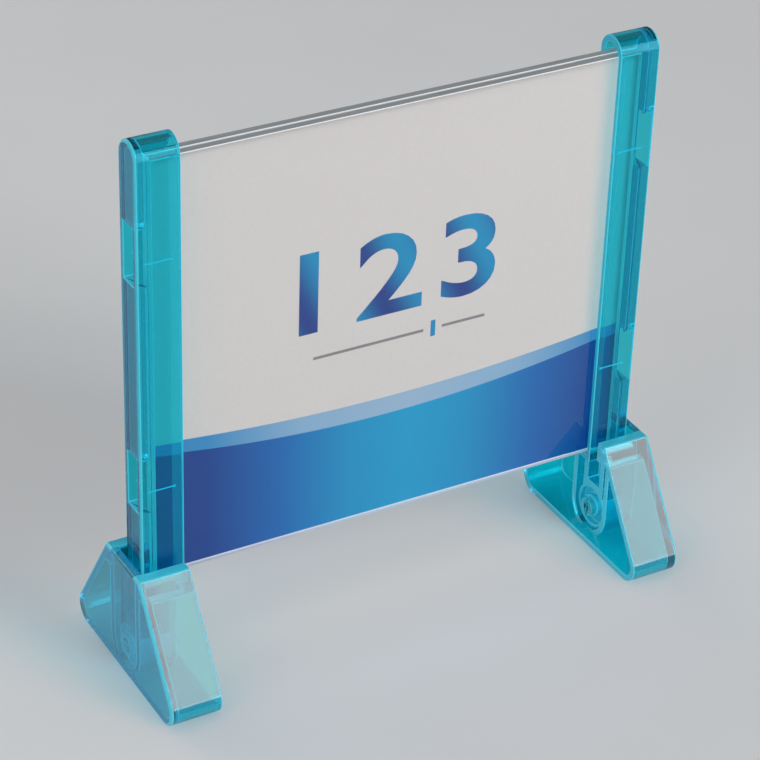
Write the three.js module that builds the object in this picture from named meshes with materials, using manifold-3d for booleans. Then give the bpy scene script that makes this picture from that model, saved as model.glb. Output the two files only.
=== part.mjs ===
// Table sign: a printed card between two clear sheets, gripped at both ends by
// moulded channel rails that stand on round knuckles in two A-shaped feet.
// Millimetres, +Z up. The sign faces -Y, its width runs along X, and the origin
// lies on the table midway between the feet.
import * as THREE from 'three';
import { mergeVertices } from 'three/addons/utils/BufferGeometryUtils.js';
import Module from 'manifold-3d';

// Sign panel: two sheets with the card between them
const sheetWidth = 150;
const sheetHeight = 130;
const sheetThickness = 2.5;
const cardThickness = 0.4;
const cardPlay = 0.1; // air film between the card and each sheet
const cardInset = 0.3; // card edge inside the sheet edge, all round
const panelBottom = 32.2; // lower edge of the sheets above the table

// Rails: channel section with a half-round closed top
const railReach = 8.0; // width of sheet that the rail covers
const channelPlay = 0.3; // between the panel and each flange
const seatPlay = 0.3; // between the panel and the channel floor
const edgeGap = 2.1; // between the sheet edge and the web
const capGap = 0.2; // from the top of the panel to the start of the round
const flangeThickness = 2.1;
const webThickness = 2.9;
const edgeRound = 0.8; // round of the outer edges of the rail
const ledgeThickness = 2.0;
const leadInLength = 3.0; // flare at the channel mouth
const leadInDepth = 0.6;

// Grip stations: a window in the web and a crush rib on each flange
const windowHeight = 17.2;
const gripFromTop = 27.3; // station centre below the top of the panel
const gripFromBottom = 31.6; // station centre above the foot of the panel
const ribHeight = 0.2;
const ribBase = 0.75; // half width of the rib at its root
const ribRoot = 0.4; // depth of the root within the flange
const ribDrop = 2.0; // rib below the station centre
const ribSetback = 0.4; // rib ends short of the flare and of the sheet edge

// Rail tail: a cored shank that ends in a round knuckle
const tailThickness = 7.2;
const tailBridge = 1.2; // solid between the knuckle and the core
const knuckleRadius = 7.05;
const knuckleRim = 1.0;
const hubWall = 1.05;
const knuckleRecess = 2.0; // depth of the ring recess in each face

// Feet: hollow shells, open towards the panel
const footWidth = 15.8;
const footHeight = 38.0;
const footTopHalf = 11.0; // half length of the flat top
const footBaseHalf = 35.9; // half length where the slopes would meet the table
const footCornerRadius = 5.4;
const footWall = 2.0;
const footFloor = 2.0;
const footOuterWall = 2.6;
const footLand = 6.5; // depth of the solid lands beside the mouth
const railGap = 1.3; // between the rail and the outer wall of the foot
const socketPlay = 0.3;
const socketWall = 1.8;
const socketSetback = 3.6; // end of the socket wall behind the rim of the foot

// Snap pin: moulded on the outer wall of the foot, through the knuckle
const pinRadius = 2.25;
const pinPlay = 0.3;
const pinBore = 1.0;
const pinSlot = 0.9;
const barbLip = 0.35; // reach of the barb past the hole in the knuckle
const barbLength = 1.4;
const axialPlay = 0.3;
const collarWall = 1.05;

// Every arc is drawn with twice this many facets
const arcSegments = 10;
const roundFacets = 4; // across a rounded edge
// Overshoot of a cutting solid past the face that it opens
const overcut = 1;

// Places that follow from the sizes
const packHalf = cardThickness / 2 + cardPlay + sheetThickness;
const channelHalf = packHalf + channelPlay;
const railHalf = channelHalf + flangeThickness;
const railInner = sheetWidth / 2 - railReach;
const webInner = sheetWidth / 2 + edgeGap;
const railOuter = webInner + webThickness;
const panelTop = panelBottom + sheetHeight;
const capCentre = panelTop + capGap;
const channelFloor = panelBottom - seatPlay;
const ledgeBottom = channelFloor - ledgeThickness;
const gripHeights = [panelTop - gripFromTop, panelBottom + gripFromBottom];
const socketHalf = knuckleRadius + socketPlay;
const pivotHeight = footFloor + socketHalf;
const tailInner = railOuter - tailThickness;
const shankBottom = pivotHeight + knuckleRim; // inside the knuckle
const holeRadius = pinRadius + pinPlay;
const wallInner = railOuter + railGap;
const footOuter = wallInner + footOuterWall;
const footInner = footOuter - footWidth;
const footSlope = (footBaseHalf - footTopHalf) / footHeight;
const footLean = Math.atan(footSlope);

const wasm = await Module();
wasm.setup();

const tealPlastic = new THREE.MeshStandardMaterial({
  color: 0x12a3bf,
  roughness: 0.08,
  metalness: 0,
  transparent: true,
  opacity: 0.7,
});
const clearAcrylic = new THREE.MeshStandardMaterial({
  color: 0xeef4f4,
  roughness: 0.05,
  metalness: 0,
  transparent: true,
  opacity: 0.25,
});
const coatedCard = new THREE.MeshStandardMaterial({ color: 0xc8c5c3, roughness: 0.6, metalness: 0 });

// Closed three.js geometry to a solid that can be joined and cut
function solid(geometry) {
  geometry.deleteAttribute('normal');
  geometry.deleteAttribute('uv');
  const merged = mergeVertices(geometry);
  return new wasm.Manifold(new wasm.Mesh({
    numProp: 3,
    vertProperties: new Float32Array(merged.attributes.position.array),
    triVerts: new Uint32Array(merged.index.array),
  }));
}

function meshOf(name, body, material) {
  const { vertProperties, triVerts } = body.getMesh();
  const geometry = new THREE.BufferGeometry();
  geometry.setAttribute('position', new THREE.BufferAttribute(vertProperties, 3));
  geometry.setIndex(new THREE.BufferAttribute(triVerts, 1));
  geometry.computeVertexNormals();
  const mesh = new THREE.Mesh(geometry, material);
  mesh.name = name;
  return mesh;
}

// Outline in the YZ plane, swept across X from near to far on one side of the sign
const acrossX = new THREE.Matrix4().makeBasis(
  new THREE.Vector3(0, 1, 0),
  new THREE.Vector3(0, 0, 1),
  new THREE.Vector3(1, 0, 0),
);

function slab(shape, near, far, side) {
  const geometry = new THREE.ExtrudeGeometry(shape, {
    depth: far - near,
    bevelEnabled: false,
    curveSegments: arcSegments,
  });
  geometry.applyMatrix4(acrossX);
  geometry.translate(side > 0 ? near : -far, 0, 0);
  return solid(geometry);
}

function rectangle(half, bottom, top) {
  return new THREE.Shape([
    new THREE.Vector2(-half, bottom),
    new THREE.Vector2(half, bottom),
    new THREE.Vector2(half, top),
    new THREE.Vector2(-half, top),
  ]);
}

// Upright outline with a half-round top
function archShape(half, bottom, centre) {
  const shape = new THREE.Shape();
  shape.moveTo(-half, bottom);
  shape.lineTo(half, bottom);
  shape.absarc(0, centre, half, 0, Math.PI, false);
  shape.closePath();
  return shape;
}

// Upright outline with a half-round bottom about the pivot
function socketShape(half, top) {
  const shape = new THREE.Shape();
  shape.moveTo(half, top);
  shape.lineTo(-half, top);
  shape.absarc(0, pivotHeight, half, Math.PI, 2 * Math.PI, false);
  shape.closePath();
  return shape;
}

function disc(radius, hole = 0) {
  const shape = new THREE.Shape();
  shape.absarc(0, pivotHeight, radius, 0, 2 * Math.PI, false);
  if (hole > 0) {
    const path = new THREE.Path();
    path.absarc(0, pivotHeight, hole, 0, 2 * Math.PI, true);
    shape.holes.push(path);
  }
  return shape;
}

// Symmetric trapezoid of the foot with round lower corners, drawn in by a wall
function footShape(top, bottom, inset, radius) {
  const reach = (height) => footTopHalf + (footHeight - height) * footSlope - inset / Math.cos(footLean);
  const centre = reach(bottom) - radius / Math.tan((Math.PI / 2 - footLean) / 2);
  const shape = new THREE.Shape();
  shape.moveTo(reach(top), top);
  shape.lineTo(-reach(top), top);
  shape.absarc(-centre, bottom + radius, radius, Math.PI - footLean, 1.5 * Math.PI, false);
  shape.absarc(centre, bottom + radius, radius, 1.5 * Math.PI, 2 * Math.PI + footLean, false);
  shape.closePath();
  return shape;
}

// Block of a rail down to its knuckle, with the edges of its outer end rounded
function roundedBlock(side) {
  const sections = [[railInner, railHalf]];
  for (let facet = 0; facet <= roundFacets; facet += 1) {
    const angle = (Math.PI / 2) * (facet / roundFacets);
    sections.push([railOuter - edgeRound * (1 - Math.sin(angle)), railHalf - edgeRound * (1 - Math.cos(angle))]);
  }
  const points = sections.flatMap(([x, half]) => {
    const outline = archShape(half, shankBottom, capCentre).getPoints(arcSegments);
    return outline.map((point) => [side * x, point.x, point.y]);
  });
  return wasm.Manifold.hull(points);
}

// Flared mouth of the channel, an outline in the XY plane swept up Z
function leadIn(side) {
  const mouth = railInner - overcut;
  const throat = railInner + leadInLength + overcut;
  const half = (x) => channelHalf + leadInDepth * (railInner + leadInLength - x) / leadInLength;
  const shape = new THREE.Shape([
    new THREE.Vector2(side * mouth, -half(mouth)),
    new THREE.Vector2(side * throat, -half(throat)),
    new THREE.Vector2(side * throat, half(throat)),
    new THREE.Vector2(side * mouth, half(mouth)),
  ]);
  const geometry = new THREE.ExtrudeGeometry(shape, { depth: panelTop - channelFloor, bevelEnabled: false });
  geometry.translate(0, 0, channelFloor);
  return solid(geometry);
}

// Low ridge across one flange that presses on the sheet
function crushRib(height, face, side) {
  const root = face * (channelHalf + ribRoot);
  const middle = height - ribDrop;
  const shape = new THREE.Shape([
    new THREE.Vector2(root, middle - ribBase),
    new THREE.Vector2(root, middle + ribBase),
    new THREE.Vector2(face * (channelHalf - ribHeight), middle),
  ]);
  return slab(shape, railInner + leadInLength + ribSetback, sheetWidth / 2 - ribSetback, side);
}

function rail(name, side) {
  let body = roundedBlock(side);
  const belowLedge = rectangle(railHalf + overcut, shankBottom - overcut, ledgeBottom);
  body = body.subtract(slab(belowLedge, railInner - overcut, tailInner, side));
  body = body.add(slab(disc(knuckleRadius), tailInner, railOuter, side));
  body = body.subtract(slab(archShape(channelHalf, channelFloor, capCentre), railInner - overcut, webInner, side));
  body = body.subtract(leadIn(side));
  for (const height of gripHeights) {
    const opening = rectangle(channelHalf, height - windowHeight / 2, height + windowHeight / 2);
    body = body.subtract(slab(opening, webInner - overcut, railOuter + overcut, side));
    for (const face of [-1, 1]) {
      body = body.add(crushRib(height, face, side));
    }
  }
  const core = rectangle(channelHalf, pivotHeight + knuckleRadius + tailBridge, ledgeBottom);
  body = body.subtract(slab(core, tailInner - overcut, webInner, side));
  const recess = disc(knuckleRadius - knuckleRim, holeRadius + hubWall);
  body = body.subtract(slab(recess, tailInner - overcut, tailInner + knuckleRecess, side));
  body = body.subtract(slab(recess, railOuter - knuckleRecess, railOuter + overcut, side));
  body = body.subtract(slab(disc(holeRadius), tailInner - overcut, railOuter + overcut, side));
  return meshOf(name, body, tealPlastic);
}

function snapPin(side) {
  const tip = tailInner - axialPlay - barbLength;
  const root = wallInner + footOuterWall / 2;
  let pin = slab(disc(pinRadius), tip, root, side);
  pin = pin.add(slab(disc(holeRadius + barbLip), tip, tip + barbLength, side));
  pin = pin.subtract(slab(disc(pinBore), tip - overcut, wallInner, side));
  const split = rectangle(pinSlot / 2, 0, footHeight);
  pin = pin.subtract(slab(split, tip - overcut, railOuter - tailThickness / 2, side));
  return pin.add(slab(disc(holeRadius + collarWall, pinRadius), railOuter + axialPlay, root, side));
}

function foot(name, side) {
  const block = slab(footShape(footHeight, 0, 0, footCornerRadius), footInner, footOuter, side);
  const pocketShape = footShape(footHeight - footLand, footFloor, footWall, footCornerRadius - footWall);
  let body = block.subtract(slab(pocketShape, footInner - overcut, wallInner, side));
  const socketTop = footHeight - footLand / 2;
  const wallEnd = wallInner + footOuterWall / 2;
  const cradle = slab(socketShape(socketHalf + socketWall, socketTop), footInner + socketSetback, wallEnd, side);
  body = body.add(cradle.intersect(block));
  body = body.subtract(slab(socketShape(socketHalf, footHeight + overcut), footInner - overcut, wallInner, side));
  body = body.add(snapPin(side));
  return meshOf(name, body, tealPlastic);
}

function plate(name, width, height, thickness, centreY, material) {
  const mesh = new THREE.Mesh(new THREE.BoxGeometry(width, thickness, height), material);
  mesh.name = name;
  mesh.position.set(0, centreY, panelBottom + sheetHeight / 2);
  return mesh;
}

const sheetOffset = packHalf - sheetThickness / 2;
const sign = new THREE.Group();
sign.add(
  plate('front_sheet', sheetWidth, sheetHeight, sheetThickness, -sheetOffset, clearAcrylic),
  plate('rear_sheet', sheetWidth, sheetHeight, sheetThickness, sheetOffset, clearAcrylic),
  plate('insert_card', sheetWidth - 2 * cardInset, sheetHeight - 2 * cardInset, cardThickness, 0, coatedCard),
  rail('left_rail', -1),
  rail('right_rail', 1),
  foot('left_foot', -1),
  foot('right_foot', 1),
);

export default sign;
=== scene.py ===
"""Table sign: a printed card between two clear sheets, in tinted channel rails on A-shaped feet.

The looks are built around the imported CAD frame, in its own axes: +Z up, and the sign faces -Y.
"""

import math

import bmesh
import bpy
from mathutils import Matrix, Vector


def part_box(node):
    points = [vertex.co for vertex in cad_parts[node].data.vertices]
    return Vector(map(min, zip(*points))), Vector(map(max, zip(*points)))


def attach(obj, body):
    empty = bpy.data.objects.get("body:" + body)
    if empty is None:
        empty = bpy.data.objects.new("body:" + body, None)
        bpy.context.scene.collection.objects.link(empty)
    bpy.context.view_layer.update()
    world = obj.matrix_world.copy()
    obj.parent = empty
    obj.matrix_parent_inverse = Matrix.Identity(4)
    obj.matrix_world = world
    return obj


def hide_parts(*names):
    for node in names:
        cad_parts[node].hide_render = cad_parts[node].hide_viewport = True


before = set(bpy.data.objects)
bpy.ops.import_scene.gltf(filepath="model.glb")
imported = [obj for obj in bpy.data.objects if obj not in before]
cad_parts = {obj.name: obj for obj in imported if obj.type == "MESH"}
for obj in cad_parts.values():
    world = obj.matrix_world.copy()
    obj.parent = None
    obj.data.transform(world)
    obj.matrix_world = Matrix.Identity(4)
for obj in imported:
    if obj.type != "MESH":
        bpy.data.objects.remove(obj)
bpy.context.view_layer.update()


# Insert card. A sheet of coated white card, cut to the size of the panel and printed on both sides.
# It is loose between the clear sheets, and the print is a pale stripe over a deep blue band that
# sags a little in the middle, both brighter towards the middle of the card.
MM = 0.001  # sizes are written in millimetres, and the frame is in metres
card_low, card_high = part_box("insert_card")
card_corner = 0.6  # round of the card's corners
stripe_top = 70.2  # middle of the stripe's upper edge above the table
stripe_rise = 3.6  # how much higher that edge is at the reference half width
band_top = 64.5
band_rise = 5.2
reference_half = 64.0  # half width at which the two rises are given
brightest_across = 6.0  # where the print is brightest, right of the middle


def linear(hex_colour):
    """An sRGB hex colour as the linear RGBA that shaders take."""
    channels = [int(hex_colour[i:i + 2], 16) / 255 for i in (1, 3, 5)]
    return [c / 12.92 if c <= 0.04045 else ((c + 0.055) / 1.055) ** 2.4 for c in channels] + [1.0]


def node(tree, kind, sockets=None, **settings):
    """A new shader node with its settings, and its sockets linked or given a plain value."""
    made = tree.nodes.new(kind)
    for name, value in settings.items():
        setattr(made, name, value)
    for key, value in (sockets or {}).items():
        if isinstance(value, bpy.types.NodeSocket):
            tree.links.new(value, made.inputs[key])
        else:
            made.inputs[key].default_value = value
    return made


def new_material(name):
    made = bpy.data.materials.new(name)
    made.use_nodes = True
    made.node_tree.nodes.clear()
    return made


def piece(name, solid, materials, body, replaced=()):
    """A finished piece from a solid drawn in millimetres: object, materials and its place in the frame."""
    bmesh.ops.scale(solid, vec=(MM, MM, MM), verts=solid.verts)
    mesh = bpy.data.meshes.new(name)
    solid.to_mesh(mesh)
    solid.free()
    for material in materials:
        mesh.materials.append(material)
    made = bpy.data.objects.new(name, mesh)
    bpy.context.scene.collection.objects.link(made)
    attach(made, body)
    if replaced:
        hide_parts(*replaced)
    return made


def block(low, high):
    """A plain box between two corners, as a bmesh in millimetres."""
    solid = bmesh.new()
    low = Vector(low)
    high = Vector(high)
    size = Matrix.Diagonal(high - low).to_4x4()
    bmesh.ops.create_cube(solid, size=1.0, matrix=Matrix.Translation((low + high) / 2) @ size)
    return solid


# Coated card: an even, slightly glossy paper. Its fibre is a faint mottle, drawn 1.4 mm coarse to show
coated_card = new_material("coated printed card")
tree = coated_card.node_tree
place = node(tree, "ShaderNodeTexCoord").outputs["Object"]
axes = node(tree, "ShaderNodeSeparateXYZ", {0: place})
across = node(tree, "ShaderNodeMath", {0: axes.outputs["X"], 1: reference_half * MM}, operation="DIVIDE")
square = node(tree, "ShaderNodeMath", {0: across.outputs[0], 1: 2.0}, operation="POWER")
off_brightest = node(
    tree,
    "ShaderNodeMath",
    {0: across.outputs[0], 1: brightest_across / reference_half},
    operation="SUBTRACT",
)
distance = node(tree, "ShaderNodeMath", {0: off_brightest.outputs[0]}, operation="ABSOLUTE")
masks = []
for level, rise in ((stripe_top, stripe_rise), (band_top, band_rise)):
    edge = node(
        tree,
        "ShaderNodeMath",
        {0: square.outputs[0], 1: rise * MM, 2: level * MM},
        operation="MULTIPLY_ADD",
    )
    below = node(
        tree,
        "ShaderNodeMath",
        {0: axes.outputs["Z"], 1: edge.outputs[0]},
        operation="LESS_THAN",
    )
    masks.append(below.outputs[0])
stripe_ink = node(tree, "ShaderNodeValToRGB", {0: distance.outputs[0]})
band_ink = node(tree, "ShaderNodeValToRGB", {0: distance.outputs[0]})
for ramp, stops in (
    (stripe_ink, ((0.0, "#98B6D2"), (0.55, "#86AFD0"), (1.0, "#338AC2"))),
    (band_ink, ((0.0, "#009BCB"), (0.3, "#008FC4"), (0.65, "#0064B0"), (1.0, "#003D8C"))),
):
    while len(ramp.color_ramp.elements) < len(stops):
        ramp.color_ramp.elements.new(0.5)
    for element, (position, colour) in zip(ramp.color_ramp.elements, stops):
        element.position = position
        element.color = linear(colour)
fibre = node(tree, "ShaderNodeTexNoise", {"Vector": place, "Scale": 1 / (1.4 * MM), "Detail": 3.0})
ground = node(
    tree,
    "ShaderNodeMix",
    {0: fibre.outputs["Fac"], 6: linear("#D2CDCB"), 7: linear("#D8D4D2")},
    data_type="RGBA",
)
with_stripe = node(
    tree,
    "ShaderNodeMix",
    {0: masks[0], 6: ground.outputs[2], 7: stripe_ink.outputs[0]},
    data_type="RGBA",
)
with_band = node(
    tree,
    "ShaderNodeMix",
    {0: masks[1], 6: with_stripe.outputs[2], 7: band_ink.outputs[0]},
    data_type="RGBA",
)
nap = node(tree, "ShaderNodeBump", {"Strength": 0.01, "Distance": 0.02 * MM, "Height": fibre.outputs["Fac"]})
paper = node(
    tree,
    "ShaderNodeBsdfPrincipled",
    {
        "Base Color": with_band.outputs[2],
        "Roughness": 0.5,
        "IOR": 1.5,
        "Specular IOR Level": 0.15,
        "Normal": nap.outputs[0],
    },
)
node(tree, "ShaderNodeOutputMaterial", {"Surface": paper.outputs[0]})

# Cut edge of the card: the white core of the board, which reads as a light line between the clear sheets
board_edge = new_material("white board core")
tree = board_edge.node_tree
place = node(tree, "ShaderNodeTexCoord").outputs["Object"]
pulp = node(tree, "ShaderNodeTexNoise", {"Vector": place, "Scale": 1 / (0.8 * MM), "Detail": 3.0})
core = node(
    tree,
    "ShaderNodeMix",
    {0: pulp.outputs["Fac"], 6: linear("#D2D3D2"), 7: linear("#DEDFDE")},
    data_type="RGBA",
)
rough_cut = node(tree, "ShaderNodeBsdfPrincipled", {"Base Color": core.outputs[2], "Roughness": 0.9})
node(tree, "ShaderNodeOutputMaterial", {"Surface": rough_cut.outputs[0]})

card = block(card_low / MM, card_high / MM)
bmesh.ops.bevel(
    card,
    geom=[e for e in card.edges if abs(e.verts[0].co.y - e.verts[1].co.y) > 0.1],
    offset=card_corner,
    segments=4,
    profile=0.5,
    affect="EDGES",
    material=-1,
)
for side in card.faces:
    side.material_index = 1 if abs(side.normal.z) > 0.9 else 0
piece("printed_card", card, [coated_card, board_edge], "sign_panel", ["insert_card"])


# Table number. Plain digits and a thin rule with a short bar, printed on both faces of the card in
# the same blues as the band. The ink is a film on the card, drawn here as a very thin solid.
digits = "123"
digit_height = 26.0
digit_spread = 1.25  # width of the digits against the font's own
digit_weight = 0.017  # added to the strokes, in the font's units; with more, the 3 crosses itself
digit_pitch = 1.15  # spacing of the digits against the font's own
number_centre = (1.0, 110.0)  # across and above the table
ink_film = 0.03
ink_gap = 0.002  # keeps the film off the plane of the card's face
rule_level = 89.0
rule_left = (-25.5, 9.5)  # ends of the left part of the rule
rule_right = (15.5, 29.5)
rule_half = 0.45
bar_half = (0.75, 2.6)  # half width and half height
bar_across = 12.6
drift_length = 22  # from one navy place in the ink to the next
wave_unit = 0.314  # length of a wave at a texture scale of 1

# Process ink: a flat gloss film whose blue drifts from navy to sky blue across the digits
number_ink = new_material("blue process ink")
tree = number_ink.node_tree
place = node(tree, "ShaderNodeTexCoord").outputs["Object"]
slant = node(tree, "ShaderNodeMapping", {"Vector": place, "Rotation": (0.0, math.radians(25), 0.0)})
drift = node(
    tree,
    "ShaderNodeTexWave",
    {
        "Vector": slant.outputs[0],
        "Scale": wave_unit / (drift_length * MM),
        "Distortion": 0.0,
        "Phase Offset": 1.2,
    },
    wave_profile="SIN",
)
shade = node(tree, "ShaderNodeValToRGB", {0: drift.outputs["Fac"]})
shade.color_ramp.elements[0].color = linear("#1C3C88")
shade.color_ramp.elements[1].color = linear("#0C8CBE")
film = node(
    tree,
    "ShaderNodeBsdfPrincipled",
    {"Base Color": shade.outputs[0], "Roughness": 0.35, "IOR": 1.5, "Specular IOR Level": 0.15},
)
node(tree, "ShaderNodeOutputMaterial", {"Surface": film.outputs[0]})

# Grey ink of the rule: the same film, in an even grey with a faint dot mottle
rule_ink = new_material("grey process ink")
tree = rule_ink.node_tree
place = node(tree, "ShaderNodeTexCoord").outputs["Object"]
dots = node(tree, "ShaderNodeTexNoise", {"Vector": place, "Scale": 1 / (0.5 * MM), "Detail": 1.0})
grey = node(
    tree,
    "ShaderNodeMix",
    {0: dots.outputs["Fac"], 6: linear("#7F7F82"), 7: linear("#8C8C8F")},
    data_type="RGBA",
)
film = node(
    tree,
    "ShaderNodeBsdfPrincipled",
    {"Base Color": grey.outputs[2], "Roughness": 0.35, "IOR": 1.5, "Specular IOR Level": 0.15},
)
node(tree, "ShaderNodeOutputMaterial", {"Surface": film.outputs[0]})


def digits_solid():
    """The digits as a thin solid in the XZ plane, centred on the number's place, in millimetres."""
    words = bpy.data.curves.new("digits", "FONT")
    words.body = digits
    words.align_x = "CENTER"
    words.align_y = "CENTER"
    words.offset = digit_weight
    words.space_character = digit_pitch
    words.resolution_u = 6
    holder = bpy.data.objects.new("digits", words)
    bpy.context.scene.collection.objects.link(holder)
    bpy.context.view_layer.update()
    drawn = bpy.data.meshes.new_from_object(holder.evaluated_get(bpy.context.evaluated_depsgraph_get()))
    bpy.data.objects.remove(holder)
    bpy.data.curves.remove(words)
    solid = bmesh.new()
    solid.from_mesh(drawn)
    bpy.data.meshes.remove(drawn)
    bmesh.ops.remove_doubles(solid, verts=solid.verts, dist=1e-5)
    heights = [v.co.y for v in solid.verts]
    widths = [v.co.x for v in solid.verts]
    scale = digit_height / (max(heights) - min(heights))
    middle = Vector(((max(widths) + min(widths)) / 2, (max(heights) + min(heights)) / 2, 0))
    bmesh.ops.translate(solid, vec=-middle, verts=solid.verts)
    bmesh.ops.scale(solid, vec=(scale * digit_spread, scale, scale), verts=solid.verts)
    bmesh.ops.rotate(solid, cent=(0, 0, 0), matrix=Matrix.Rotation(math.pi / 2, 3, "X"), verts=solid.verts)
    front = bmesh.ops.extrude_face_region(solid, geom=solid.faces[:])["geom"]
    lifted = [v for v in front if isinstance(v, bmesh.types.BMVert)]
    bmesh.ops.translate(solid, vec=(0, -ink_film, 0), verts=lifted)
    bmesh.ops.translate(solid, vec=(number_centre[0], 0, number_centre[1]), verts=solid.verts)
    bmesh.ops.recalc_face_normals(solid, faces=solid.faces)
    for face in solid.faces:
        face.smooth = False
    return solid


def on_card(solid, face):
    """Moves ink that was drawn on the plane y = 0 and faces -Y on to the front or the back of the card."""
    bmesh.ops.translate(solid, vec=(0, card_low.y / MM - ink_gap, 0), verts=solid.verts)
    if face == "back":
        bmesh.ops.rotate(solid, cent=(0, 0, 0), matrix=Matrix.Rotation(math.pi, 3, "Z"), verts=solid.verts)
    return solid


for face in ("front", "back"):
    number = on_card(digits_solid(), face)
    piece(f"table_number_{face}", number, [number_ink], "sign_panel")
    for side, (near, far) in (("left", rule_left), ("right", rule_right)):
        rule = block((near, -ink_film, rule_level - rule_half), (far, 0, rule_level + rule_half))
        piece(f"rule_{side}_{face}", on_card(rule, face), [rule_ink], "sign_panel")
    bar = block(
        (bar_across - bar_half[0], -ink_film, rule_level - bar_half[1]),
        (bar_across + bar_half[0], 0, rule_level + bar_half[1]),
    )
    piece(f"rule_bar_{face}", on_card(bar, face), [number_ink], "sign_panel")


# Clear sheets. Two equal plates of cast acrylic, saw-cut to size, that carry the card between them.
# Their faces are as bright as glass. The cut edges are matt and look frosted, and the top edge, which
# the hand runs along, is scraped smooth between its broken corners; its cool grey is painted shade.
sheet_arris = 0.2
card_reach = 1.0  # a face nearer than this to the middle of the panel lies on the card

# Cast acrylic: very clear and smooth, with faint rubbing marks that only catch a light
cast_acrylic = new_material("clear cast acrylic")
tree = cast_acrylic.node_tree
place = node(tree, "ShaderNodeTexCoord").outputs["Object"]
rubbing = node(tree, "ShaderNodeTexNoise", {"Vector": place, "Scale": 1 / (9 * MM), "Detail": 4.0})
polish = node(tree, "ShaderNodeMapRange", {"Value": rubbing.outputs["Fac"], "To Min": 0.0, "To Max": 0.035})
glassy = node(
    tree,
    "ShaderNodeBsdfPrincipled",
    {
        "Base Color": linear("#FFFFFF"),
        "Roughness": polish.outputs[0],
        "IOR": 1.49,
        "Specular IOR Level": 0.25,
        "Transmission Weight": 1.0,
    },
)
open_way = node(tree, "ShaderNodeBsdfTransparent", {"Color": linear("#FAFBFB")})
path = node(tree, "ShaderNodeLightPath")
lamp_way = node(
    tree,
    "ShaderNodeMixShader",
    {0: path.outputs["Is Shadow Ray"], 1: glassy.outputs[0], 2: open_way.outputs[0]},
)
soft_way = node(
    tree,
    "ShaderNodeMixShader",
    {0: path.outputs["Is Diffuse Ray"], 1: lamp_way.outputs[0], 2: open_way.outputs[0]},
)
node(tree, "ShaderNodeOutputMaterial", {"Surface": soft_way.outputs[0]})

# Saw-cut acrylic edge: matt and whitish, with fine saw marks, drawn 0.7 mm apart so that they show
cut_edge = new_material("saw-cut acrylic edge")
tree = cut_edge.node_tree
place = node(tree, "ShaderNodeTexCoord").outputs["Object"]
grain = node(tree, "ShaderNodeTexNoise", {"Vector": place, "Scale": 1 / (0.7 * MM), "Detail": 2.0})
saw = node(tree, "ShaderNodeBump", {"Strength": 0.35, "Distance": 0.03 * MM, "Height": grain.outputs["Fac"]})
haze = node(
    tree,
    "ShaderNodeBsdfPrincipled",
    {
        "Base Color": linear("#FCFBFF"),
        "Roughness": 0.5,
        "IOR": 1.49,
        "Transmission Weight": 0.1,
        "Normal": saw.outputs[0],
    },
)
node(tree, "ShaderNodeOutputMaterial", {"Surface": haze.outputs[0]})

# Scraped top edge: smoother than the saw cut, with fine scraping lines along the sheet.
# Its cool grey is painted shade, for the dark line along the top of the panel.
shaded_top_edge = new_material("scraped acrylic edge")
tree = shaded_top_edge.node_tree
place = node(tree, "ShaderNodeTexCoord").outputs["Object"]
along = node(tree, "ShaderNodeMapping", {"Vector": place, "Scale": (0.03, 1.0, 1.0)})
lines = node(tree, "ShaderNodeTexNoise", {"Vector": along.outputs[0], "Scale": 1 / (0.5 * MM), "Detail": 2.0})
# painted shade: the two greys darken the top edge, in lines along the sheet
scrape_lines_and_shade = node(
    tree,
    "ShaderNodeMix",
    {0: lines.outputs["Fac"], 6: linear("#7E8689"), 7: linear("#ACB2B5")},
    data_type="RGBA",
)
smooth = node(
    tree,
    "ShaderNodeBsdfPrincipled",
    {"Base Color": scrape_lines_and_shade.outputs[2], "Roughness": 0.4, "IOR": 1.49},
)
node(tree, "ShaderNodeOutputMaterial", {"Surface": smooth.outputs[0]})

# Face on the card: the card lies so close that this face shows no gloss of its own
card_contact = new_material("acrylic face on the card")
tree = card_contact.node_tree
place = node(tree, "ShaderNodeTexCoord").outputs["Object"]
dust = node(tree, "ShaderNodeTexNoise", {"Vector": place, "Scale": 1 / (25 * MM), "Detail": 2.0})
film = node(
    tree,
    "ShaderNodeMix",
    {0: dust.outputs["Fac"], 6: linear("#FDFDFD"), 7: linear("#FFFFFF")},
    data_type="RGBA",
)
clear = node(tree, "ShaderNodeBsdfTransparent", {"Color": film.outputs[2]})
node(tree, "ShaderNodeOutputMaterial", {"Surface": clear.outputs[0]})

finishes = [cast_acrylic, cut_edge, card_contact, shaded_top_edge]
for name in ("front_sheet", "rear_sheet"):
    low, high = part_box(name)
    sheet = block(low / MM, high / MM)
    for side in sheet.faces:
        finish = cast_acrylic if abs(side.normal.y) > 0.9 else cut_edge
        if abs(side.calc_center_median().y) < card_reach:
            finish = card_contact
        # the top faces take the edge that is painted grey as shade
        if side.normal.z > 0.9:
            finish = shaded_top_edge
        side.material_index = finishes.index(finish)
    arrises = bmesh.ops.bevel(
        sheet,
        geom=sheet.edges[:],
        offset=sheet_arris,
        segments=1,
        profile=0.5,
        affect="EDGES",
        material=-1,
    )
    for face in arrises["faces"]:
        face.material_index = finishes.index(cut_edge)
    piece(f"clear_{name}", sheet, finishes, "sign_panel", [name])


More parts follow.
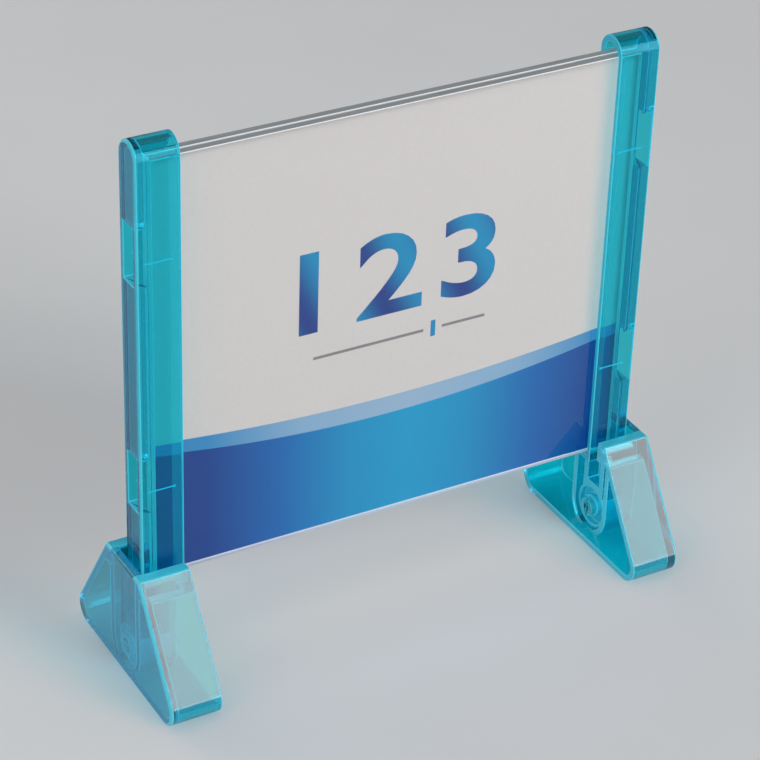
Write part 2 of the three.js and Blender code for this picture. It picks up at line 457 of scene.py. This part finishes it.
# Rails. Each is one moulding in clear tinted polystyrene: a channel that pushes on to the end of the
# panel, closed by a half-round top, with windows and crush ribs at two stations. Its tail is a cored
# shank that ends in a round knuckle with a hole for the pin of the foot.
panel_low, panel_high = (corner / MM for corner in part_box("front_sheet"))
rail_low, rail_high = (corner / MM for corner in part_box("right_rail"))
rail_inner = rail_low.x
rail_outer = rail_high.x
rail_half = 5.2
cap_centre = rail_high.z - rail_half
channel_half = 3.1
seat_play = 0.3  # between the panel and the floor of the channel
ledge_thickness = 2.0
edge_gap = 2.1  # between the end of the panel and the web
channel_floor = panel_low.z - seat_play
ledge_bottom = channel_floor - ledge_thickness
web_inner = panel_high.x + edge_gap
edge_round = 0.8
mouth_length = 3.0
mouth_flare = 0.6
grip_from_top = 27.3  # middle of the upper station below the top of the panel
grip_from_foot = 31.6  # middle of the lower station above the foot of the panel
station_levels = (panel_high.z - grip_from_top, panel_low.z + grip_from_foot)
window_half = 8.6
rib_height = 0.2
rib_start = 2.0  # from the mouth of the channel
rib_base = 0.75  # half width at its root
rib_root = 0.4  # depth of the root within the flange
rib_drop = 2.0  # below the middle of its station
knuckle_radius = 7.05
knuckle_rim = 1.0
hub_wall = 1.05
recess_depth = 2.0  # of the ring between rim and hub, in each face of the knuckle
pivot_level = rail_low.z + knuckle_radius
shank_bottom = pivot_level + 1.0  # inside the knuckle
core_bridge = 1.2  # solid between the knuckle and the core of the shank
tail_thickness = 7.2
tail_inner = rail_outer - tail_thickness
hole_radius = 2.55
arris = 0.3
past = 1.0  # how far a cut runs on past the face that it opens
close_by = 0.1  # allowance when a face or a corner is found by its place
touching = 0.01  # the same, for a corner on a flat face
half_turn_steps = 40
drum_sides = 64


def swept(solid, length):
    """Fills the outline drawn in a bmesh and draws it out along X."""
    face = bmesh.ops.contextual_create(solid, geom=solid.edges[:])["faces"]
    moved = bmesh.ops.extrude_face_region(solid, geom=face)["geom"]
    far_end = [v for v in moved if isinstance(v, bmesh.types.BMVert)]
    bmesh.ops.translate(solid, vec=(length, 0, 0), verts=far_end)
    bmesh.ops.recalc_face_normals(solid, faces=solid.faces)
    return solid


def half_round(half, bottom, centre, near, far):
    """An upright bar with a half-round top, swept across X."""
    solid = bmesh.new()
    first = solid.verts.new((near, half, centre))
    last = bmesh.ops.spin(
        solid,
        geom=[first],
        cent=(0, 0, centre),
        axis=(1, 0, 0),
        angle=math.pi,
        steps=half_turn_steps,
    )["geom_last"][0]
    foot_rear = solid.verts.new((near, half, bottom))
    foot_front = solid.verts.new((near, -half, bottom))
    for pair in ((last, foot_front), (foot_front, foot_rear), (foot_rear, first)):
        solid.edges.new(pair)
    return swept(solid, far - near)


def prism(corners, near, far):
    """An outline of (Y, Z) corners swept across X."""
    solid = bmesh.new()
    ring = [solid.verts.new((near, y, z)) for y, z in corners]
    for start, end in zip(ring, ring[1:] + ring[:1]):
        solid.edges.new((start, end))
    return swept(solid, far - near)


def drum(radius, level, near, far):
    """A round bar along X."""
    solid = bmesh.new()
    along_x = Matrix.Rotation(math.pi / 2, 4, "Y")
    bmesh.ops.create_cone(
        solid,
        cap_ends=True,
        segments=drum_sides,
        radius1=radius,
        radius2=radius,
        depth=far - near,
        matrix=Matrix.Translation(((near + far) / 2, 0, level)) @ along_x,
    )
    return solid


def combined(body, tool, how):
    """Joins two closed solids, cuts the second out of the first, or keeps what they share."""
    holders = []
    for solid in (body, tool):
        mesh = bpy.data.meshes.new("working")
        solid.to_mesh(mesh)
        solid.free()
        holder = bpy.data.objects.new("working", mesh)
        bpy.context.scene.collection.objects.link(holder)
        holders.append(holder)
    step = holders[0].modifiers.new("step", "BOOLEAN")
    step.operation = how
    step.solver = "MANIFOLD"
    step.object = holders[1]
    made = bmesh.new()
    made.from_object(holders[0], bpy.context.evaluated_depsgraph_get())
    for holder in holders:
        mesh = holder.data
        bpy.data.objects.remove(holder)
        bpy.data.meshes.remove(mesh)
    return made


def face_mark(solid, name):
    """A face layer by name: one mark paints rims and edges a brighter cyan glow, the other paints a wall a
    deeper tint as shade.
    """
    return solid.faces.layers.float.get(name) or solid.faces.layers.float.new(name)


def softened(solid, *passes):
    """Merges flat facets, then rounds sharp edges in passes of (width, segments, test of a corner).

    The rounded faces get the mark that paints them a brighter cyan glow.
    """
    weld = 0.03
    flat_angle = math.radians(0.6)
    sharp_angle = math.radians(35)
    layer = face_mark(solid, "painted_rim_glow")
    bmesh.ops.remove_doubles(solid, verts=solid.verts, dist=weld)
    bmesh.ops.dissolve_limit(solid, angle_limit=flat_angle, verts=solid.verts, edges=solid.edges)
    for width, segments, chosen in passes:
        sharp = [e for e in solid.edges if e.is_manifold and e.calc_face_angle() > sharp_angle]
        rounded = bmesh.ops.bevel(
            solid,
            geom=[e for e in sharp if all(chosen(v.co) for v in e.verts)],
            offset=width,
            segments=segments,
            profile=0.5,
            affect="EDGES",
            clamp_overlap=False,
            material=-1,
        )
        for face in rounded["faces"]:
            face[layer] = 1.0
    bmesh.ops.dissolve_degenerate(solid, dist=0.001, edges=solid.edges)
    return solid


def anywhere(corner):
    """A test that every corner passes."""
    return True


def marked(solid, name, share, *tests):
    """Marks the faces that pass every test."""
    layer = face_mark(solid, name)
    solid.normal_update()
    for face in solid.faces:
        if all(test(face) for test in tests):
            face[layer] = share


def facing(axis, place, within=0.05):
    """A test for the faces that look along an axis, such as (-1, 0, 0), and lie at a place on it."""
    along = Vector(axis).normalized()

    def passes(face):
        off_place = abs(face.calc_center_median().dot(along) - place)
        return face.normal.dot(along) > 0.99 and off_place < within

    return passes


def split(solid, place, axis):
    """Cuts the faces along a plane, so that the parts of a flat face can be marked apart."""
    everything = solid.verts[:] + solid.edges[:] + solid.faces[:]
    bmesh.ops.bisect_plane(solid, geom=everything, dist=0.0001, plane_co=place, plane_no=axis)


def smooth_shaded(made):
    """Smooth shading that keeps the flat faces flat."""
    made.data.shade_smooth()
    made.data.set_sharp_from_angle(angle=math.radians(50))
    even = made.modifiers.new("even normals", "WEIGHTED_NORMAL")
    even.keep_sharp = True
    return made


def handed(solid, side):
    """The same solid, mirrored for the left side of the sign."""
    if side == "left":
        bmesh.ops.scale(solid, vec=(-1, 1, 1), verts=solid.verts)
        bmesh.ops.reverse_faces(solid, faces=solid.faces[:])
    return solid


def on_outer_rim(corner):
    """Whether a corner of the rail lies on the outline of its outer face."""
    around_pin = math.hypot(corner.y, corner.z - pivot_level)
    in_window = abs(corner.y) < channel_half + close_by and pivot_level < corner.z < cap_centre
    in_window = in_window and around_pin > knuckle_radius
    on_outline = around_pin > knuckle_radius - close_by and not in_window
    return on_outline and corner.x > rail_outer - touching


def in_knuckle(face):
    """Whether a face lies within the round of the knuckle."""
    return all(
        math.hypot(v.co.y, v.co.z - pivot_level) < knuckle_radius + close_by for v in face.verts
    )


def on_rib(face):
    """Whether a face belongs to a crush rib."""
    middle = face.calc_center_median()
    at_station = any(abs(middle.z + rib_drop - level) < rib_base for level in station_levels)
    return at_station and abs(middle.y) < channel_half - touching


def on_flare(face):
    """Whether a face belongs to the flared mouth of the channel."""
    return 0.1 < abs(face.normal.x) < 0.3 and abs(face.normal.y) > 0.9


def rail_solid():
    """The right rail, in millimetres."""
    body = half_round(rail_half, shank_bottom, cap_centre, rail_inner, rail_outer)
    cuts = [
        block(
            (rail_inner - past, -rail_half - past, pivot_level - past),
            (tail_inner, rail_half + past, ledge_bottom),
        ),
        half_round(channel_half, channel_floor, cap_centre, rail_inner - past, web_inner),
    ]
    flare = mouth_flare * (mouth_length + past) / mouth_length
    mouth = prism(
        [
            (-channel_half - flare, channel_floor),
            (channel_half + flare, channel_floor),
            (channel_half + flare, cap_centre),
            (-channel_half - flare, cap_centre),
        ],
        rail_inner - past,
        rail_inner + mouth_length,
    )
    for corner in mouth.verts:
        if corner.co.x > rail_inner:
            corner.co.y = math.copysign(channel_half, corner.co.y)
    cuts.append(mouth)
    for level in station_levels:
        cuts.append(
            block(
                (web_inner - past, -channel_half, level - window_half),
                (rail_outer + past, channel_half, level + window_half),
            )
        )
    for cut in cuts:
        body = combined(body, cut, "DIFFERENCE")
    body = combined(body, drum(knuckle_radius, pivot_level, tail_inner, rail_outer), "UNION")
    core_floor = pivot_level + knuckle_radius + core_bridge
    core = block((tail_inner - past, -channel_half, core_floor), (web_inner, channel_half, ledge_bottom))
    body = combined(body, core, "DIFFERENCE")
    inner_recess = (tail_inner - past, tail_inner + recess_depth)
    outer_recess = (rail_outer - recess_depth, rail_outer + past)
    for near, far in (inner_recess, outer_recess):
        ring = combined(
            drum(knuckle_radius - knuckle_rim, pivot_level, near, far),
            drum(hole_radius + hub_wall, pivot_level, near - past, far + past),
            "DIFFERENCE",
        )
        body = combined(body, ring, "DIFFERENCE")
    hole = drum(hole_radius, pivot_level, tail_inner - past, rail_outer + past)
    body = combined(body, hole, "DIFFERENCE")
    # painted glow: the faces of the knuckle are painted a brighter cyan
    marked(body, "painted_rim_glow", 0.45, in_knuckle)
    body = softened(body, (edge_round, 5, on_outer_rim), (arris, 2, anywhere))
    for level in station_levels:
        rib_level = level - rib_drop
        for flange in (-1, 1):
            rib = prism(
                [
                    (flange * (channel_half + rib_root), rib_level - rib_base),
                    (flange * (channel_half + rib_root), rib_level + rib_base),
                    (flange * (channel_half - rib_height), rib_level),
                ],
                rail_inner + rib_start,
                web_inner + arris,
            )
            body = combined(body, rib, "UNION")
    split(body, (0, 0, pivot_level + knuckle_radius / 2), (0, 0, 1))
    # painted glow: the flared mouth, the ribs, the end faces, the knuckle's outer face and the window edges
    # are painted a brighter cyan
    marked(body, "painted_rim_glow", 0.25, on_flare)
    marked(body, "painted_rim_glow", 1.0, on_rib)
    marked(body, "painted_rim_glow", 0.5, facing((-1, 0, 0), -rail_inner))
    marked(body, "painted_rim_glow", 0.8, facing((-1, 0, 0), -tail_inner))
    marked(body, "painted_rim_glow", 0.8, facing((1, 0, 0), rail_outer), in_knuckle)
    # painted shade: the outer face of the rail is painted the deeper tint
    marked(body, "painted_wall_shade", 1.0, facing((1, 0, 0), rail_outer))
    for level in station_levels:
        marked(body, "painted_rim_glow", 0.9, facing((0, 0, -1), -level - window_half))
        marked(body, "painted_rim_glow", 0.9, facing((0, 0, 1), level - window_half))
    return body


def tinted_plastic(name, wall_tint, painted_shade_tint, glint, clear_share, dye_density):
    """Tinted polystyrene: clear and polished in the mould, deep where it is thick.

    Rims, rounded edges and some inner faces carry a mark that paints them a brighter, milkier cyan:
    a painted glow in place of the light that the plastic leads along its walls. A wall with the other
    mark is painted a deeper tint, as painted shade. The glint tints what the polish mirrors.
    The dye's density is per millimetre.
    """
    # painted glow: the brighter, milkier cyan painted on marked faces, in place of light led to the rims
    painted_glow_tint = "#58E2F8"
    rim_clear_share = 0.2
    rim_roughness = 0.14
    made = new_material(name)
    tree = made.node_tree
    place = node(tree, "ShaderNodeTexCoord").outputs["Object"]
    flow = node(tree, "ShaderNodeTexNoise", {"Vector": place, "Scale": 1 / (14 * MM), "Detail": 2.0})
    sink = node(
        tree,
        "ShaderNodeBump",
        {"Strength": 0.1, "Distance": 0.15 * MM, "Height": flow.outputs["Fac"]},
    )
    handling = node(tree, "ShaderNodeTexNoise", {"Vector": place, "Scale": 1 / (4 * MM), "Detail": 5.0})
    polish = node(
        tree,
        "ShaderNodeMapRange",
        {"Value": handling.outputs["Fac"], "To Min": 0.0, "To Max": 0.06},
    )
    # how much painted glow each face has
    mark = node(tree, "ShaderNodeAttribute", attribute_name="painted_rim_glow").outputs["Fac"]
    # how much painted shade each wall has
    depth = node(tree, "ShaderNodeAttribute", attribute_name="painted_wall_shade").outputs["Fac"]
    wall = node(
        tree,
        "ShaderNodeMix",
        {0: depth, 6: linear(wall_tint), 7: linear(painted_shade_tint)},
        data_type="RGBA",
    )
    tint = node(
        tree,
        "ShaderNodeMix",
        {0: mark, 6: wall.outputs[2], 7: linear(painted_glow_tint)},
        data_type="RGBA",
    )
    clearness = node(
        tree,
        "ShaderNodeMapRange",
        {"Value": mark, "To Min": clear_share, "To Max": rim_clear_share},
    )
    gloss = node(tree, "ShaderNodeMix", {0: mark, 2: polish.outputs[0], 3: rim_roughness})
    glassy = node(
        tree,
        "ShaderNodeBsdfPrincipled",
        {
            "Base Color": tint.outputs[2],
            "Roughness": gloss.outputs[0],
            "IOR": 1.58,
            "Specular Tint": linear(glint),
            "Transmission Weight": clearness.outputs[0],
            "Normal": sink.outputs[0],
        },
    )
    open_way = node(tree, "ShaderNodeBsdfTransparent", {"Color": linear("#E9FAFC")})
    path = node(tree, "ShaderNodeLightPath")
    lamp_way = node(
        tree,
        "ShaderNodeMixShader",
        {0: path.outputs["Is Shadow Ray"], 1: glassy.outputs[0], 2: open_way.outputs[0]},
    )
    soft_way = node(
        tree,
        "ShaderNodeMixShader",
        {0: path.outputs["Is Diffuse Ray"], 1: lamp_way.outputs[0], 2: open_way.outputs[0]},
    )
    dye = node(
        tree,
        "ShaderNodeVolumeAbsorption",
        {"Color": linear("#00E7F9"), "Density": dye_density / MM},
    )
    node(tree, "ShaderNodeOutputMaterial", {"Surface": soft_way.outputs[0], "Volume": dye.outputs[0]})
    return made


# The deeper tint is painted shade, on the walls that carry its mark.
rail_plastic = tinted_plastic(
    "clear teal polystyrene",
    wall_tint="#40DCE8",
    painted_shade_tint="#06A0C0",
    glint="#60B4C8",
    clear_share=0.97,
    dye_density=0.11,
)
for side in ("left", "right"):
    rail = piece(
        f"channel_{side}_rail",
        handed(rail_solid(), side),
        [rail_plastic],
        f"{side}_rail",
        [f"{side}_rail"],
    )
    smooth_shaded(rail)


# Feet. Each is one hollow moulding of the same plastic, open towards the panel: sloping front and back,
# solid lands beside the mouth, and a U-shaped wall that takes the knuckle of the rail. A split pin with
# a barb, moulded on the outer wall, snaps through the knuckle.
foot_low, foot_high = (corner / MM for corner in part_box("right_foot"))
foot_inner = foot_low.x
foot_outer = foot_high.x
foot_height = foot_high.z
top_half = 11.0
base_half = 35.9
corner_radius = 5.4
shell_wall = 2.0
outer_wall = 2.6
land_depth = 6.5
socket_play = 0.4  # around the knuckle
socket_half = knuckle_radius + socket_play
socket_wall = 1.8
socket_setback = 3.6  # end of the socket's wall behind the rim of the foot
pin_radius = 2.25
pin_bore = 1.0
slit_half = 0.45
barb_lip = 0.35  # reach of the barb past the hole in the knuckle
barb_length = 1.4
axial_play = 0.3  # between the knuckle and the barb, and the knuckle and the collar
collar_radius = hole_radius + hub_wall  # as wide as the hub of the knuckle
collar_overlap = 0.1  # how far the collar reaches into the pin, so that they join
pin_arris = 0.15
collar_arris = 0.25
foot_round = 0.9
foot_arris = 0.4
blend_height = 2.0  # of the place where the socket runs into the floor
corner_steps = 16
wall_inner = foot_outer - outer_wall
slope_place = base_half * foot_height / math.hypot(foot_height, base_half - top_half)


def trapezoid(top, bottom, inset, radius, near, far):
    """The foot's outline between two levels, drawn in by a wall and with round lower corners."""
    slope = (base_half - top_half) / foot_height
    draw_in = inset * math.hypot(1, slope)

    def reach(level):
        return top_half + (foot_height - level) * slope - draw_in

    solid = bmesh.new()
    corner_angle = math.pi / 2 - math.atan(slope)
    centre = reach(bottom) - radius / math.tan(corner_angle / 2)
    lower = []
    upper = []
    for way in (1, -1):
        lower.append(solid.verts.new((near, way * centre, bottom)))
        last = bmesh.ops.spin(
            solid,
            geom=lower[-1:],
            cent=(near, way * centre, bottom + radius),
            axis=(way, 0, 0),
            angle=math.pi - corner_angle,
            steps=corner_steps,
        )["geom_last"][0]
        upper.append(solid.verts.new((near, way * reach(top), top)))
        solid.edges.new((last, upper[-1]))
    solid.edges.new(lower)
    solid.edges.new(upper)
    return swept(solid, far - near)


def cradle(half, top, near, far):
    """A U-shaped bar about the pivot, open at the top."""
    solid = half_round(half, -top, -pivot_level, near, far)
    bmesh.ops.rotate(solid, cent=(0, 0, 0), matrix=Matrix.Rotation(math.pi, 3, "X"), verts=solid.verts)
    return solid


def pin_solid():
    """The split pin with its barb, and the collar about its root."""
    tip = tail_inner - axial_play - barb_length
    root = wall_inner + outer_wall / 2
    pin = combined(
        drum(pin_radius, pivot_level, tip, root),
        drum(hole_radius + barb_lip, pivot_level, tip, tip + barb_length),
        "UNION",
    )
    pin = combined(pin, drum(pin_bore, pivot_level, tip - past, wall_inner), "DIFFERENCE")
    slit_end = rail_outer - tail_thickness / 2
    slit = block((tip - past, -slit_half, 0), (slit_end, slit_half, foot_height))
    pin = combined(pin, slit, "DIFFERENCE")
    # painted glow: the pin is painted a half-bright cyan
    marked(pin, "painted_rim_glow", 0.5)
    pin = softened(pin, (pin_arris, 2, anywhere))
    collar = combined(
        drum(collar_radius, pivot_level, rail_outer + axial_play, root),
        drum(pin_radius - collar_overlap, pivot_level, rail_outer, root + past),
        "DIFFERENCE",
    )
    # painted glow: so is the collar
    marked(collar, "painted_rim_glow", 0.5)
    return combined(pin, softened(collar, (collar_arris, 2, anywhere)), "UNION")


def on_outer_outline(corner):
    """Whether a corner of the foot lies on the outline of its outer face."""
    return corner.x > foot_outer - touching


def off_socket_floor(corner):
    """Leaves out the place where the round of the socket runs into the floor of the foot."""
    above = corner.z > shell_wall + blend_height
    return above or abs(corner.y) > socket_half or corner.x < foot_inner + touching


def beside_mouth(face):
    """Whether a face lies on the top of the outer wall, beside the mouth of the socket."""
    within = 0.05
    lowest = foot_height - foot_round - within
    innermost = wall_inner - foot_arris - within
    reach = socket_half + touching
    return all(
        v.co.z > lowest and v.co.x > innermost and abs(v.co.y) < reach for v in face.verts
    )


def foot_solid():
    """The right foot, in millimetres."""
    body = trapezoid(foot_height, 0.0, 0.0, corner_radius, foot_inner, foot_outer)
    pocket = trapezoid(
        foot_height - land_depth,
        shell_wall,
        shell_wall,
        corner_radius - shell_wall,
        foot_inner - past,
        wall_inner,
    )
    limit = trapezoid(foot_height, 0.0, 0.0, corner_radius, foot_inner, foot_outer)
    body = combined(body, pocket, "DIFFERENCE")
    wall = cradle(
        socket_half + socket_wall,
        foot_height - land_depth / 2,
        foot_inner + socket_setback,
        wall_inner + outer_wall / 2,
    )
    body = combined(body, combined(wall, limit, "INTERSECT"), "UNION")
    socket = cradle(socket_half, foot_height + past, foot_inner - past, wall_inner)
    body = combined(body, socket, "DIFFERENCE")
    body = softened(body, (foot_round, 5, on_outer_outline), (foot_arris, 2, off_socket_floor))
    body = combined(body, pin_solid(), "UNION")
    for way in (-1, 1):
        split(body, (0, way * socket_half, 0), (0, 1, 0))
        # painted shade: the sloping faces are painted the deeper tint
        marked(body, "painted_wall_shade", 0.9, facing((0, way * foot_height, base_half - top_half), slope_place))
    # painted glow: the ends of the foot, the socket's wall, the top, the pocket's ceiling and the top beside
    # the mouth are painted a brighter cyan
    marked(body, "painted_rim_glow", 0.75, facing((-1, 0, 0), -foot_inner))
    marked(body, "painted_rim_glow", 0.75, facing((-1, 0, 0), -foot_inner - socket_setback))
    marked(body, "painted_rim_glow", 0.85, facing((0, 0, 1), foot_height))
    marked(body, "painted_rim_glow", 0.8, facing((0, 0, -1), land_depth - foot_height))
    marked(body, "painted_rim_glow", 0.2, beside_mouth)
    return body


# The deeper tint is painted shade, on the walls that carry its mark.
foot_plastic = tinted_plastic(
    "deep teal polystyrene",
    wall_tint="#14DCEA",
    painted_shade_tint="#048078",
    glint="#FFFFFF",
    clear_share=0.93,
    dye_density=0.1,
)
for side in ("left", "right"):
    foot = piece(
        f"hollow_{side}_foot",
        handed(foot_solid(), side),
        [foot_plastic],
        f"{side}_foot",
        [f"{side}_foot"],
    )
    smooth_shaded(foot)


# Stage. A plain pale floor and a camera where the photographer stood. The main soft box stands in front
# on the right, where the sloping faces and round tops mirror it. Weaker ones hang overhead and stand on
# the left and behind, for the edges that face away from it.
floor_half = 3.0  # metres, as the rest of the stage
floor_drop = 0.0002  # keeps the floor off the plane of the feet
floor_paint = new_material("pale matt floor")
tree = floor_paint.node_tree
place = node(tree, "ShaderNodeTexCoord").outputs["Object"]
mottle = node(tree, "ShaderNodeTexNoise", {"Vector": place, "Scale": 1 / (60 * MM), "Detail": 2.0})
pale = node(
    tree,
    "ShaderNodeMix",
    {0: mottle.outputs["Fac"], 6: linear("#E6E7E8"), 7: linear("#EAEBEC")},
    data_type="RGBA",
)
matt = node(
    tree,
    "ShaderNodeBsdfPrincipled",
    {"Base Color": pale.outputs[2], "Roughness": 0.8, "Specular IOR Level": 0.1},
)
node(tree, "ShaderNodeOutputMaterial", {"Surface": matt.outputs[0]})
ground_plane = bmesh.new()
bmesh.ops.create_grid(ground_plane, x_segments=1, y_segments=1, size=floor_half)
floor_mesh = bpy.data.meshes.new("floor")
ground_plane.to_mesh(floor_mesh)
ground_plane.free()
floor_mesh.materials.append(floor_paint)
floor = bpy.data.objects.new("floor", floor_mesh)
floor.location = (0, 0, -floor_drop)
bpy.context.scene.collection.objects.link(floor)

world = bpy.data.worlds.new("studio")
bpy.context.scene.world = world
world.use_nodes = True
world.node_tree.nodes.clear()
sky = node(world.node_tree, "ShaderNodeBackground", {"Color": linear("#EEF1F4"), "Strength": 0.2})
node(world.node_tree, "ShaderNodeOutputWorld", {"Surface": sky.outputs[0]})


def soft_light(name, towards, distance, width, height, power):
    """A soft box at a distance from the sign, in a given direction, turned to face it."""
    lamp = bpy.data.lights.new(name, "AREA")
    lamp.shape = "RECTANGLE"
    lamp.size = width
    lamp.size_y = height
    lamp.energy = power
    holder = bpy.data.objects.new(name, lamp)
    aim = Vector((0, 0, 0.06))
    away = Vector(towards).normalized()
    holder.location = aim + away * distance
    holder.rotation_euler = away.to_track_quat("Z", "Y").to_euler()
    bpy.context.scene.collection.objects.link(holder)


soft_light(
    "front soft box",
    towards=(0.43, -0.80, 0.34),
    distance=1.7,
    width=0.8,
    height=1.4,
    power=19.5,
)
soft_light(
    "overhead soft box",
    towards=(-0.1, 0.1, 1.0),
    distance=1.5,
    width=1.4,
    height=1.4,
    power=4.0,
)
soft_light(
    "left soft box",
    towards=(-0.85, -0.35, 0.4),
    distance=1.7,
    width=0.8,
    height=1.4,
    power=7.0,
)
soft_light(
    "rear soft box",
    towards=(-0.3, 0.85, 0.42),
    distance=1.7,
    width=1.2,
    height=0.9,
    power=6.5,
)

camera_azimuth = math.radians(30.065)
camera_elevation = math.radians(31.678)
camera_roll = math.radians(1.965)
camera_distance = 0.7881
camera_target = Vector((-0.003213, 0.0, 0.075328))
focal_pixels = 2793.7
image_side = 760
sensor_width = 36.0
look = Vector(
    (
        math.sin(camera_azimuth) * math.cos(camera_elevation),
        math.cos(camera_azimuth) * math.cos(camera_elevation),
        -math.sin(camera_elevation),
    )
)
level_right = Vector((math.cos(camera_azimuth), -math.sin(camera_azimuth), 0))
level_up = level_right.cross(look)
right = math.cos(camera_roll) * level_right + math.sin(camera_roll) * level_up
up = -math.sin(camera_roll) * level_right + math.cos(camera_roll) * level_up
lens = bpy.data.cameras.new("camera")
lens.sensor_width = sensor_width
lens.lens = sensor_width * focal_pixels / image_side
camera = bpy.data.objects.new("camera", lens)
turn = Matrix((right, up, -look)).transposed().to_4x4()
camera.matrix_world = Matrix.Translation(camera_target - look * camera_distance) @ turn
bpy.context.scene.collection.objects.link(camera)
bpy.context.scene.camera = camera
bpy.context.scene.view_settings.view_transform = "Standard"

bpy.context.view_layer.update()
